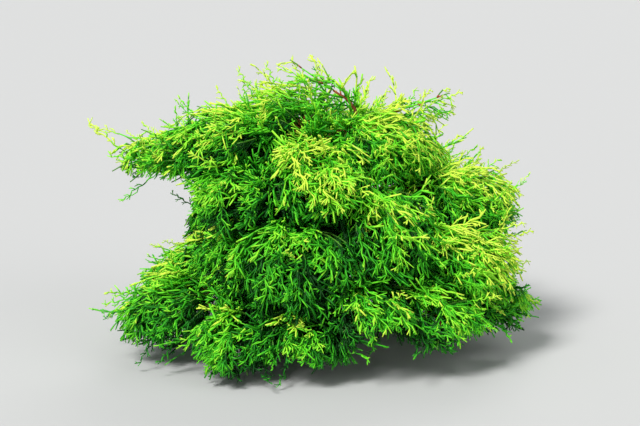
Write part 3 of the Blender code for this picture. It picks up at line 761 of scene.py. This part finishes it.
class Pattern(Drawn):
    """One drawn spray, with how light each face's leaf is and the points that have to fit."""

    def __init__(self, seed, length, count, longest, shortest):
        self.rng = random.Random(seed)
        self.shape = bmesh.new()
        self.length = length
        self.lighter = {}
        self.droop = SPRAY_DROOP * self.rng.uniform(*DROOP_VARIES)
        nodes = self.draw_middle(count)
        self.probes = nodes[2::2]
        for node in range(1, count):
            share = node / count
            reach = longest - (longest - shortest) * share
            self.draw_side(nodes[node], share, (-1) ** node, reach)
        super().__init__(self.shape)
        self.lighter = np.array([self.lighter[face] for face in self.shape.faces])
        self.probes = np.array(self.probes)
        self.shape.free()

    def draw_middle(self, count):
        """The long cord that the others fork off. Returns its nodes."""
        sway = self.rng.uniform(-SPRAY_SWAY, SPRAY_SWAY)
        nodes = [Vector((0, 0, 0))]
        for node in range(1, count + 1):
            share = node / count
            wave = self.rng.uniform(-SPRAY_WAVE, SPRAY_WAVE) - SPRAY_ZIGZAG * (-1) ** node
            jog = wave + sway * share**2 * self.length
            sag = self.droop * share**2 * self.length
            sag += wave * self.rng.uniform(-WAVE_SAG, WAVE_SAG)
            nodes.append(Vector((share * self.length, jog, -sag)))
        thick, thinner = CORD_TAPER
        radii = [CORD_RADIUS * (thick - thinner * node / count) for node in range(count + 1)]
        for face in cord(self.shape, nodes, radii):
            self.lighter[face] = face.calc_center_median().x / self.length
        return nodes

    def draw_side(self, root, share, side, reach):
        """One side cord with its spurs."""
        rng = self.rng
        reach *= rng.uniform(*SIDE_VARIES)
        turn = math.radians(SIDE_ANGLE_DEG + rng.uniform(-ANGLE_VARIES_DEG, ANGLE_VARIES_DEG))
        crook = rng.uniform(-SIDE_CROOKED_DEG, SIDE_CROOKED_DEG)
        bend = turn - math.radians(SIDE_BEND_DEG + crook)
        lift = rng.uniform(-SIDE_LIFT, SIDE_LIFT)
        rise = lift - self.droop * share
        knee = root + Vector((math.cos(turn), side * math.sin(turn), rise)) * (reach * TO_KNEE)
        rise = lift - self.droop * (share + TIP_DROOP)
        tip = knee + Vector((math.cos(bend), side * math.sin(bend), rise)) * (reach * BEYOND_KNEE)
        radii = (SIDE_RADIUS, SIDE_RADIUS, SIDE_RADIUS * SIDE_TIP_TAPER)
        own = rng.uniform(-CORD_TINT, CORD_TINT)
        for face in cord(self.shape, [root, knee, tip], radii):
            out = (face.calc_center_median() - root).length / self.length
            self.lighter[face] = share * LIGHTER_ALONG + out * LIGHTER_OUT + own
        self.probes.append(tip)
        for spot, hand in SPURS[: 2 if reach > TWO_SPURS_FROM else 1]:
            if rng.random() > SPUR_CHANCE:
                continue
            foot = knee.lerp(tip, spot)
            turn = math.radians(SPUR_FORK_DEG * side * hand)
            fork = Matrix.Rotation(turn, 3, "Z") @ (tip - knee).normalized()
            fork.z += rng.uniform(-SPUR_LIFT, SPUR_LIFT)
            point = foot + fork * SPUR_LENGTH * rng.uniform(*SPUR_VARIES)
            for face in spur(self.shape, foot - fork * SPUR_SUNK, point):
                self.lighter[face] = share * LIGHTER_ALONG + LIGHTER_SPUR + own


class Copies:
    """Copies of patterns, joined into one mesh."""

    def __init__(self):
        self.points, self.corners, self.sizes, self.shades = [], [], [], []
        self.count = 0

    def add(self, points, pattern, shades):
        """One copy: its placed points, the pattern's faces and each face's material."""
        self.points.append(points)
        self.corners.append(pattern.corners + self.count)
        self.sizes.append(pattern.sizes)
        self.shades.append(shades)
        self.count += len(points)

    def mesh(self, name, materials):
        """The joined mesh, smooth-shaded."""
        points = np.concatenate(self.points).astype(np.float32)
        lists = (self.corners, self.sizes, self.shades)
        corners, sizes, shades = (np.concatenate(each).astype(np.int32) for each in lists)
        made = bpy.data.meshes.new(name)
        made.vertices.add(len(points))
        made.vertices.foreach_set("co", points.ravel())
        made.loops.add(len(corners))
        made.loops.foreach_set("vertex_index", corners)
        made.polygons.add(len(sizes))
        starts = np.concatenate(([0], np.cumsum(sizes)[:-1])).astype(np.int32)
        made.polygons.foreach_set("loop_start", starts)
        made.polygons.foreach_set("material_index", shades)
        for material in materials:
            made.materials.append(material)
        made.update(calc_edges=True)
        made.shade_smooth()
        return made


# Sprays, the small sprigs that take a spray's place where it finds no room, and the sparse
# antler-like forks that stand out of the outline. Each has its length, the nodes of its middle
# cord, and its longest and shortest side cords.
ANTLER_LENGTH = 0.070
sprays = [Pattern(seed, 0.070, 6, 0.038, 0.013) for seed in range(14)]
sprigs = [Pattern(seed, 0.034, 4, 0.018, 0.013) for seed in range(6)]
antlers = [Pattern(seed, ANTLER_LENGTH, 8, 0.024, 0.009) for seed in range(8)]
# What a spray tries in turn until it fits: the patterns, and their size.
FITTED = ((sprays, 1.0), (sprays, 0.82), (sprigs, 1.0), (sprigs, 0.8))

# The foliage's colours, from gold to a near-black green. They are partly the plant's own,
# yellower outside and greener inside, and partly painted light and shade: painted sunlight on
# the tops, painted shade inside and underneath, darkest in leaf_shade. A spray takes one by its
# place, and its tips are lighter than its foot.
TINTS = (
    ("leaf_gold", (0.66, 0.90, 0.075, 1.0)),
    ("leaf_lime", (0.32, 0.82, 0.032, 1.0)),
    ("leaf_bright", (0.135, 0.67, 0.018, 1.0)),
    ("leaf_green", (0.046, 0.42, 0.011, 1.0)),
    ("leaf_deep", (0.012, 0.20, 0.007, 1.0)),
    ("leaf_shade", (0.003, 0.06, 0.004, 1.0)),
)
LEAF_ROUGHNESS = 0.52
LEAF_SHINE = 0.22
leaf_materials = []
for tint_name, tint in TINTS:
    leaf = Finish(tint_name, tint, LEAF_ROUGHNESS)
    leaf.give(leaf.shader, {"Specular IOR Level": LEAF_SHINE})
    leaf_materials.append(leaf.material)

# How many branchlets each kind of mass bears, how many sprays fill its inside, and how many short
# shoots stand round it. Branchlets leave the stem towards an even spread of directions, the first
# ones as the solids have them, with sprays along their outer part and one at the tip.
BEARS = {
    "crown": (28, 38, 12), "shelf": (26, 32, 11), "shoulder": (26, 38, 10), "middle": (22, 42, 4),
    "drape": (28, 42, 7), "skirt": (26, 38, 9), "wisp": (5, 0, 1),
}
SOLID_BRANCHLETS = 7
MORE_BEHIND = 6
LONGER_BEHIND = 1.15
BRANCHLET_REACH = 0.76
WISP_REACH = 0.70
REACH_VARIES = (0.72, 1.38)
BRANCHLET_ARCH = 0.10
FORKS_BACK = 0.6
LAST_FORK = 0.92
FACES_UP = 1.5
TWIG_TRIES = (1.0, 0.82, 0.66, 0.5)
TWIG_STEPS = 4
TWIG_RADII = (0.0016, 0.0010)
WOODY = 0.35
SPREAD_STEPS = (0.7548776662, 0.5698402909)
# The directions spread round the outer and upper side of a mass, or every third time all over:
# how far round, the lowest rise and the span of rises.
OUTER_SPREAD = (140.0, -0.46, 1.40)
WHOLE_SPREAD = (180.0, -1.0, 2.0)
WHOLE_EACH = 3
# Sprays hang on from their twig, outward, and down where they aren't on top.
SPRAYS_EACH = 9
WISP_SPRAYS = 2
SPRAY_VARIES = (0.80, 1.22)
SPRAY_FIRST = 0.22
SPRAY_ASIDE = 0.95
ASIDE_VARIES = (0.5, 1.6)
FACING_WILD = 0.30
HANG_ON, HANG_OUT, HANG_DOWN = 0.50, 0.75, 0.60
HANG_STEEPER, HANG_ON_TOP = 1.5, 0.1
HANG_WILD = 0.24
LAID_OVER = 0.75
LAID_VARIES = (0.5, 1.15)
# Boughs carry sprays too, beyond their bare inner part, and more sprays fill the inside.
BOUGH_SPRAYS = 34
BOUGH_BARE = 0.15
BOUGH_INSIDE = 0.55
BOUGH_LAP = 0.040
BOUGH_ON, BOUGH_OUT, BOUGH_DOWN = 0.6, 0.9, 0.2
BOUGH_VARIES = (0.9, 1.4)
INNER_FIRST = 0.05
INNER_DOWN = 0.25
INNER_START = 0.012
INNER_VARIES = (1.05, 1.50)
# Steps of painted shade that whole masses have, or of painted sunlight where it is below zero.
SHADIER = {
    "wisp": -0.70, "middle": 0.50, "skirt": 0.35, "drape": 0.45,
    "crown_top": 0.45, "crown_left": 1.00, "crown_front": 0.10, "crown_right": -0.35,
    "shelf_left": 0.20, "shelf_left_front": 1.35, "shoulder_front": -0.95, "middle_left": 1.30,
    "drape_front": 1.00, "drape_right": 0.30, "skirt_right": 0.20, "skirt_right_front": 0.30,
    "skirt_front_right": 0.70, "skirt_front_left": 0.55, "skirt_left": 0.45,
    "skirt_left_inner": -0.45,
}
# How much painted light a spray's tint gets from facing up, from its height and from its place
# between the underside and the top of its own mass, and how much painted shade from lying
# further inside than usual.
LIGHT_UP, LIGHT_INSIDE, LIGHT_HIGH = 0.36, 0.46, 0.60
LIGHT_TOP = {"skirt": 0.48}
LIGHT_TOP_ELSEWHERE = 0.24
USUAL_FULLNESS = 0.45
DARKEST_STEP = 3.7
STEPS_TO_LIGHT = 4.4
TINT_VARIES = 0.50
TIPS_LIGHTER = 2.8
# The skirt's hem hangs in lobes round the shrub.
HEM_LOBES = 11
HEM_TURN = 2.04
HEM_RISE = 0.024
HEM_RAGGED = 0.014
# No twig or cord runs this way, so it can tell a cord's sides apart.
ELSEWHERE = (0.31, 0.17, 0.93)


def unit(vector):
    """The vector at length 1."""
    return vector / np.linalg.norm(vector)


def turned_to(way, facing):
    """The axes of a spray that runs one way and faces another, as rows."""
    way = unit(way)
    normal = unit(facing - way * (facing @ way))
    return np.array((way, np.cross(normal, way), normal))


def spread(index, round_deg, lowest, span):
    """The index-th direction of an even spread."""
    around, above = ((0.5 + index * step) % 1 for step in SPREAD_STEPS)
    turn = math.radians(round_deg * (2 * around - 1))
    rise = lowest + span * above
    level = math.sqrt(1 - rise * rise)
    return Vector((level * math.cos(turn), level * math.sin(turn), rise))


class Straight(Drawn):
    """A straight three-sided cord of unit length and radius, to be bent along a path."""

    def __init__(self, steps):
        shape = bmesh.new()
        cord(shape, [Vector((0, 0, share)) for share in even_shares(steps)], [1.0] * (steps + 1))
        super().__init__(shape)
        self.middles = np.array([f.calc_center_median().z for f in shape.faces])
        shape.free()

    def bent(self, path, radii):
        """Its points along a path."""
        path = np.array(path)
        where = self.points[:, 2] * (len(path) - 1)
        spots = np.array([np.interp(where, range(len(path)), path[:, k]) for k in range(3)]).T
        thick = np.interp(where, range(len(path)), radii)
        way = unit(path[-1] - path[0])
        aside = unit(np.cross(way, ELSEWHERE))
        across = np.cross(way, aside)
        off = self.points[:, :1] * aside + self.points[:, 1:2] * across
        return spots + off * thick[:, None]


class Growth:
    """The foliage of one mass while it grows."""

    def __init__(self, index, seed):
        self.index = index
        self.mass = crown.masses[index]
        self.branchlets, self.inner_sprays, self.antlers = BEARS[self.mass.kind]
        self.rng = random.Random(seed)
        self.copies = Copies()

    def astray(self, far=1):
        """A random step."""
        return np.array([self.rng.gauss(0, far) for _ in range(3)])

    def hem(self, point):
        """How far above its mass's lowest level a spray near this point ends, in lobes."""
        if self.mass.kind != "skirt":
            return 0.0
        around = HEM_LOBES * math.atan2(point[1], point[0]) + HEM_TURN
        return HEM_RISE * (math.sin(around) + 1) / 2 + HEM_RAGGED * self.rng.random()

    def accepts(self, points, radius, thinnest=TWIG_THINNEST, lap=CELL_LAP[0], higher=0.0):
        """True if a twig or spray with these points stays in its space and off the limbs."""
        if points[:, 2].min() < self.mass.lowest + higher:
            return False
        if crown.fullness(points).min() < thinnest:
            return False
        return crown.in_cell(self.index, points, lap) and crown.clear_of_limbs(points, radius)

    def place(self, pattern, root, turned, probes):
        """Adds one copy of a pattern, with the tint that its place gets, which paints in light and
        shade.
        """
        mass = self.mass
        # Painted light and shade: the tint steps lighter for facing up, for height and for the top
        # of the mass, darker for lying deep inside, and takes the mass's own step of painted
        # shade.
        light = LIGHT_UP * max(turned[2][2] / np.linalg.norm(turned[2]), 0.0)
        light -= LIGHT_INSIDE * (crown.fullness(probes).mean() - USUAL_FULLNESS)
        light += LIGHT_HIGH * root[2] / HEIGHT
        above = (probes.mean(axis=0)[2] - mass.centre.z) / mass.half.z
        light += LIGHT_TOP.get(mass.kind, LIGHT_TOP_ELSEWHERE) * min(max(above, -1.0), 1.0)
        shadier = SHADIER.get(mass.name, SHADIER.get(mass.kind, 0.0))
        step = DARKEST_STEP - STEPS_TO_LIGHT * light + shadier + self.rng.gauss(0.0, TINT_VARIES)
        shades = np.round(step - (pattern.lighter - 0.5) * TIPS_LIGHTER)
        shades = np.clip(shades, 0, len(TINTS) - 1)
        self.copies.add(root + pattern.points @ turned, pattern, shades)

    def lay_spray(self, root, way, facing, length, more_lap=0.0, inside=False):
        """Puts a spray at root, smaller or plainer until it fits. Returns True if laid."""
        axes = turned_to(way, facing)
        thinnest = 0.0 if inside else self.rng.uniform(*self.mass.thinnest)
        lap = self.rng.uniform(*CELL_LAP) + more_lap
        higher = self.hem(root)
        for family, share in FITTED:
            pattern = self.rng.choice(family)
            turned = axes * length * share
            probes = root + pattern.probes @ turned
            if self.accepts(probes, CORD_RADIUS / 2, thinnest, lap, higher):
                self.place(pattern, root, turned, probes)
                return True
        return False


straight_twig = Straight(TWIG_STEPS)
twig_copies = Copies()
twig_shades = (straight_twig.middles > WOODY).astype(int)


def branchlet_path(root, tip, facing):
    """A branchlet's points: it arches away from the mass's middle on its way to its tip."""
    length = np.linalg.norm(tip - root)
    shares = np.linspace(0, 1, TWIG_STEPS + 1)[:, None]
    arch = facing * length * BRANCHLET_ARCH
    return root + (tip - root) * shares + arch * np.sin(math.pi * shares)


def branchlet(growth, number):
    """The path of a mass's number-th branchlet, or None, and the way that it faces."""
    mass = growth.mass
    extra = number >= SOLID_BRANCHLETS
    whole = extra and number % WHOLE_EACH == 0
    aim = spread(number, *(WHOLE_SPREAD if whole else OUTER_SPREAD))
    reach = WISP_REACH if mass.kind == "wisp" else BRANCHLET_REACH
    if extra:
        reach *= growth.rng.uniform(*REACH_VARIES) * (LONGER_BEHIND if mass.behind else 1.0)
    tip = mass.to_world(*(aim * reach))
    off = tip - mass.entry
    stem = (mass.stem[-1] - mass.entry).length
    along = off.dot(mass.axis)
    aside = (off - mass.axis * along).length
    share = min(max((along - aside * FORKS_BACK) / stem, mass.first_fork), LAST_FORK)
    root = np.array(mass.stem_point(share))
    facing = mass.axis * aim.x + mass.side * aim.y + mass.up * aim.z * FACES_UP
    facing = np.array(facing.normalized())
    for fit in TWIG_TRIES:
        path = branchlet_path(root, root + (np.array(tip) - root) * fit, facing)
        if growth.accepts(path[1:], TWIG_RADII[0]):
            return path, facing
    return None, facing


def hanging(growth, way, around):
    """The way a spray hangs: on from its twig, outward, and down where it isn't on top."""
    down = HANG_DOWN * (HANG_STEEPER - (HANG_STEEPER - HANG_ON_TOP) * max(around[2], 0.0))
    hang = way * HANG_ON + np.array(growth.mass.axis) * HANG_OUT - np.array((0, 0, down))
    hang += growth.astray(HANG_WILD)
    return hang - around * (hang @ around) * LAID_OVER * growth.rng.uniform(*LAID_VARIES)


def grow_branchlets(growth):
    """All branchlets of a mass, with the sprays that they carry."""
    mass, rng = growth.mass, growth.rng
    radii = np.linspace(*TWIG_RADII, TWIG_STEPS + 1)
    each = WISP_SPRAYS if mass.kind == "wisp" else SPRAYS_EACH
    for number in range(growth.branchlets + (MORE_BEHIND if mass.behind else 0)):
        path, facing = branchlet(growth, number)
        if path is None:
            continue
        laid = []
        for order in range(each):
            spot = TWIG_STEPS * (1 - (1 - SPRAY_FIRST) * order / each)
            root = [np.interp(spot, range(TWIG_STEPS + 1), path[:, k]) for k in range(3)]
            ahead = unit(path[-1] - path[-2] if order == 0 else path[-1] - path[1])
            side = 0.0 if order == 0 else (1.0 if order % 2 else -1.0)
            aside = np.cross(facing, ahead) * side * SPRAY_ASIDE * rng.uniform(*ASIDE_VARIES)
            around = unit(facing + growth.astray(FACING_WILD))
            hang = hanging(growth, ahead + aside, around)
            length = rng.uniform(*SPRAY_VARIES)
            laid.append(growth.lay_spray(np.array(root), hang, around, length))
        if any(laid):
            twig_copies.add(straight_twig.bent(path, radii), straight_twig, twig_shades)


def grow_inside(growth):
    """The sprays of a mass's bough, and those that fill the mass from its stem outward."""
    mass, rng = growth.mass, growth.rng
    for _ in range(BOUGH_SPRAYS * (2 if mass.behind else 1) * (mass is not top_mass)):
        spot = rng.uniform(BOUGH_BARE, 1.0) * (len(mass.bough) - 1)
        here = int(spot)
        around = unit(growth.astray())
        way = mass.bough[min(here + 1, len(mass.bough) - 1)] - mass.bough[here - 1]
        way = unit(way) * BOUGH_ON + around * BOUGH_OUT - np.array((0, 0, BOUGH_DOWN))
        root = mass.bough[here] + around * BOUGH_TIP_RADIUS
        facing = unit(np.cross(way, unit(growth.astray())))
        inside = spot < BOUGH_INSIDE * len(mass.bough)
        growth.lay_spray(root, way, facing, rng.uniform(*BOUGH_VARIES), BOUGH_LAP, inside)
    for number in range(growth.inner_sprays):
        aim = spread(number, *WHOLE_SPREAD)
        root = np.array(mass.stem_point(rng.uniform(INNER_FIRST, 1.0)))
        way = mass.outward(aim)
        facing = unit(np.cross(way, unit(growth.astray())))
        way = way - np.array((0, 0, INNER_DOWN))
        growth.lay_spray(root + way * INNER_START, way, facing, rng.uniform(*INNER_VARIES))


# Long shoots stand out of the outline: a bare cord from the stem, with an antler-like fork at
# its tip. These are the masses that they grow from, and each tip's azimuth in degrees, reach
# over HALF_SPREAD and height over HEIGHT. Shorter ones stand round every mass.
SHOOTS = {
    "shelf_left": (
        (180, 1.010, 0.785), (184, 0.880, 0.520), (176, 0.800, 0.780), (190, 0.640, 0.850),
    ),
    "crown_left": ((180, 0.460, 0.915),),
    "crown_top": ((178, 0.330, 0.985), (172, 0.210, 1.000), (186, 0.270, 0.940)),
    "wisp_top": (
        (180, 0.110, 1.022), (170, 0.020, 0.990), (190, 0.140, 0.900), (350, 0.080, 0.935),
    ),
    "crown_right": ((10, 0.190, 0.915), (5, 0.330, 0.900), (357, 0.440, 0.912)),
    "wisp_right": ((0, 0.640, 0.890), (355, 0.600, 0.820), (8, 0.530, 0.900)),
    "shoulder_right": ((3, 0.820, 0.650), (12, 0.740, 0.660)),
    "shoulder_front": ((357, 0.965, 0.400), (345, 0.930, 0.470)),
    "skirt_right": ((352, 0.995, 0.165), (0, 0.960, 0.290)),
    "skirt_left": ((190, 0.975, 0.140), (197, 0.930, 0.235), (215, 0.930, 0.060)),
    "skirt_front": ((258, 0.790, 0.035),),
    "skirt_back": ((98, 0.880, 0.060),),
}
SHOOT_ROOT = 0.45
SHOOT_ARCH = 0.006
SHOOT_STEPS = 6
SHOOT_WAVE = 0.0035
SHOOT_RADII = (0.0017, 0.0013)
SHOOT_TINTS = (2, 3)
SHOOT_FACING = np.array((0.2, -0.8, 0.5))
SHOOT_HEAD, HEAD_SHARE = 0.052, 0.7
# Shoots of the top turn upright at their heads.
SHOOT_STANDS = 0.91
SHOOT_LEANS = 0.45
SHOOT_UPRIGHT = 1.1
ANTLERS_FROM = 100
ANTLER_FOOT = (0.80, 1.00)
ANTLER_ROOT = (0.3, 0.9)
ANTLER_OUT, ANTLER_ON = 0.6, 0.5
ANTLER_RISE = (0.10, 0.95)
SKIRT_RISE = 0.1
ANTLER_VARIES = (0.032, 0.066)
straight_shoot = Straight(SHOOT_STEPS)


def lay_shoot(growth, root, neck):
    """A long wavy cord, which an antler-like fork goes on from."""
    shares = np.linspace(0, 1, SHOOT_STEPS + 1)[:, None]
    path = root + (neck - root) * shares
    path[:, 2] += SHOOT_ARCH * np.sin(math.pi * shares[:, 0])
    path[1:-1] += [growth.astray(SHOOT_WAVE) for _ in range(SHOOT_STEPS - 1)]
    radii = np.linspace(*SHOOT_RADII, SHOOT_STEPS + 1)
    shades = np.full(len(straight_shoot.sizes), growth.rng.choice(SHOOT_TINTS))
    growth.copies.add(straight_shoot.bent(path, radii), straight_shoot, shades)


def lay_antler(growth, foot, way, facing, length):
    """A sparse fork of cords that stands free of the mass. Returns True if it fits."""
    pattern = growth.rng.choice(antlers)
    turned = turned_to(way, facing) * length / ANTLER_LENGTH
    probes = foot + pattern.probes @ turned
    inside = (probes > LOW_LIMIT).all() and (probes < HIGH_LIMIT).all()
    if not (inside and crown.clear_of_limbs(probes[1:], CORD_RADIUS)):
        return False
    growth.place(pattern, foot, turned, probes)
    return True


def grow_shoots(growth):
    """The long shoots of one mass, and the short ones that stand round it."""
    mass, rng = growth.mass, growth.rng
    for azimuth, reach, height in SHOOTS.get(mass.name, ()):
        tip = np.array(heading(azimuth) * reach * HALF_SPREAD + Vector((0, 0, height * HEIGHT)))
        root = np.array(mass.stem_point(SHOOT_ROOT))
        way = unit(tip - root)
        head = min(SHOOT_HEAD, HEAD_SHARE * np.linalg.norm(tip - root))
        if height > SHOOT_STANDS and reach < SHOOT_LEANS:
            way = unit(way + np.array((0, 0, SHOOT_UPRIGHT)))
        neck = tip - way * head
        if lay_antler(growth, neck, way, SHOOT_FACING, head):
            lay_shoot(growth, root, neck)
    on_skirt = mass.kind == "skirt"
    for number in range(growth.antlers):
        aim = spread(ANTLERS_FROM + number, *OUTER_SPREAD)
        foot = np.array(mass.to_world(*(aim * rng.uniform(*ANTLER_FOOT))))
        higher = HEM_RISE if on_skirt else 0.0
        if not growth.accepts(foot[None], CORD_RADIUS, mass.thinnest[0], CELL_LAP[1], higher):
            continue
        rise = rng.uniform(*ANTLER_RISE) * (SKIRT_RISE if on_skirt else 1.0)
        way = mass.outward(aim) * ANTLER_OUT + np.array(mass.axis) * ANTLER_ON
        way = way + np.array((0, 0, rise))
        facing = unit(growth.astray())
        root = np.array(mass.stem_point(rng.uniform(*ANTLER_ROOT)))
        if lay_antler(growth, foot, way, facing, rng.uniform(*ANTLER_VARIES)):
            lay_shoot(growth, root, foot)


for index, mass in enumerate(masses):
    growth = Growth(index, mass.name)
    grow_branchlets(growth)
    grow_inside(growth)
    growth.rng = random.Random("shoots of " + mass.name)
    grow_shoots(growth)
    foliage_mesh = growth.copies.mesh(mass.name + "_foliage", leaf_materials)
    foliage = new_object(mass.name + "_foliage", foliage_mesh)
    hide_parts(mass.name)
    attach(foliage, "root")

# Stems and branchlets are the youngest wood: smooth and red-brown, turning olive at the tips.
# Each grows on from its bough's tip, and a leading shoot is wood at its foot and green beyond.
YOUNG_BARK = (0.42, 0.095, 0.030, 1.0)
GREEN_BARK = (0.075, 0.24, 0.014, 1.0)
TWIG_ROUGHNESS = 0.6
STEM_SUNK = 0.002
STEM_RINGS = 4
STEM_SIDES = 6
LEADER_STEPS = 12
LEADER_WOODY = 0.53
LEADER_TINT = 2
young = Finish("young_bark", YOUNG_BARK, TWIG_ROUGHNESS)
green = Finish("green_bark", GREEN_BARK, TWIG_ROUGHNESS)
straight_leader = Straight(LEADER_STEPS)
stem_lines = []
for mass in masses:
    foot = mass.stem[0] + (mass.stem[0] - mass.stem[1]).normalized() * STEM_SUNK
    line, girth = rounded([foot] + mass.stem[1:], STEM_RADII, STEM_RINGS)
    if mass.kind == "wisp":
        end = int(len(line) * LEADER_WOODY)
        leader = straight_leader.bent([np.array(p) for p in line[end - 1 :]], girth[end - 1 :])
        leader_shades = np.full(len(straight_leader.sizes), LEADER_TINT)
        twig_copies.add(leader, straight_leader, leader_shades)
        line, girth = line[:end], girth[:end]
    stem_lines.append((line, girth))
twig_materials = [young.material, green.material, leaf_materials[LEADER_TINT]]
twigs = new_object("twigs", twig_copies.mesh("twigs", twig_materials))
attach(twigs, "root")
stem_shape = bmesh.new()
stem_grain = {}
for line, girth in stem_lines:
    stem_grain |= limb(stem_shape, line, girth, STEM_SIDES)
stems = new_object("stems", wood_mesh("stems", stem_shape, stem_grain))
stems.data.materials.append(bark)
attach(stems, "root")
